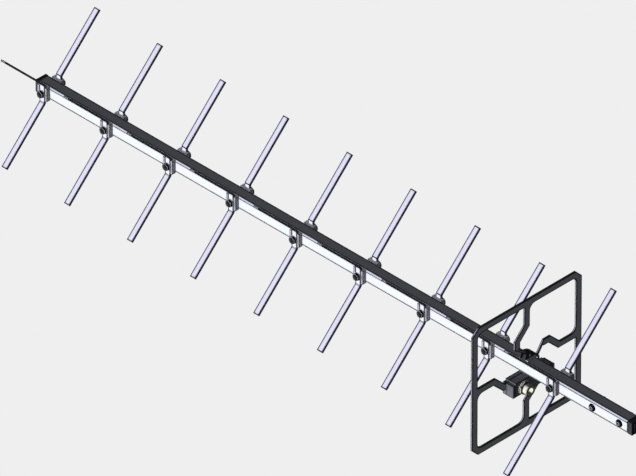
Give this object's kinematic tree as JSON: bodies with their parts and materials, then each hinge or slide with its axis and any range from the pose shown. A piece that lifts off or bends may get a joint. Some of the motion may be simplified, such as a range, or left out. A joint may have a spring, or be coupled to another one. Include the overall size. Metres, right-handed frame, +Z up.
{
  "type": "yagi antenna",
  "caption": "Dual-polarised directional antenna: crossed bent-strip directors and a square loop radiator on a square boom, end-mounted on a mast.",
  "frame": {"origin": "middle of the mast face: the boom's flat back, halfway between the two mast bolts", "axes": "+X along the boom from the first director towards the mast end; +Y out of the mast face; +Z up"},
  "size_m": [1.1223, 0.206, 0.206],
  "materials": {
    "boom_aluminium": "satin extruded aluminium",
    "element_aluminium": "bright rolled strip",
    "sheet_aluminium": "laser-cut aluminium sheet",
    "clip_plastic": "moulded grey plastic",
    "plug_plastic": "moulded black plastic",
    "housing_plastic": "moulded black plastic, lightly textured",
    "black_steel": "black zinc plated steel",
    "connector_brass": "machined brass",
    "circuit_board": "solder mask"
  },
  "bodies": {
    "root": {"boom_tube": "boom_aluminium", "front_end_plug": "plug_plastic", "rear_end_plug": "plug_plastic", "director_1_front_strip": "element_aluminium", "director_1_front_clip": "clip_plastic", "director_1_back_strip": "element_aluminium", "director_1_back_clip": "clip_plastic", "director_1_through_bolt": "black_steel", "director_2_front_strip": "element_aluminium", "director_2_front_clip": "clip_plastic", "director_2_back_strip": "element_aluminium", "director_2_back_clip": "clip_plastic", "director_2_through_bolt": "black_steel", "director_3_front_strip": "element_aluminium", "director_3_front_clip": "clip_plastic", "director_3_back_strip": "element_aluminium", "director_3_back_clip": "clip_plastic", "director_3_through_bolt": "black_steel", "director_4_front_strip": "element_aluminium", "director_4_front_clip": "clip_plastic", "director_4_back_strip": "element_aluminium", "director_4_back_clip": "clip_plastic", "director_4_through_bolt": "black_steel", "director_5_front_strip": "element_aluminium", "director_5_front_clip": "clip_plastic", "director_5_back_strip": "element_aluminium", "director_5_back_clip": "clip_plastic", "director_5_through_bolt": "black_steel", "director_6_front_strip": "element_aluminium", "director_6_front_clip": "clip_plastic", "director_6_back_strip": "element_aluminium", "director_6_back_clip": "clip_plastic", "director_6_through_bolt": "black_steel", "director_7_front_strip": "element_aluminium", "director_7_front_clip": "clip_plastic", "director_7_back_strip": "element_aluminium", "director_7_back_clip": "clip_plastic", "director_7_through_bolt": "black_steel", "director_8_front_strip": "element_aluminium", "director_8_front_clip": "clip_plastic", "director_8_back_strip": "element_aluminium", "director_8_back_clip": "clip_plastic", "director_8_through_bolt": "black_steel", "reflector_front_strip": "element_aluminium", "reflector_front_clip": "clip_plastic", "reflector_back_strip": "element_aluminium", "reflector_back_clip": "clip_plastic", "reflector_through_bolt": "black_steel", "mast_bolt_1": "black_steel", "mast_bolt_2": "black_steel", "radiator_sheet": "sheet_aluminium", "balun_housing": "housing_plastic", "balun_back_cover": "housing_plastic", "radiator_saddle_front": "housing_plastic", "radiator_saddle_rear": "housing_plastic", "balun_board": "circuit_board", "coax_jack_1": "connector_brass", "coax_jack_2": "connector_brass", "jack_nut_1": "connector_brass", "jack_nut_2": "connector_brass"}
  },
  "joints": []
}
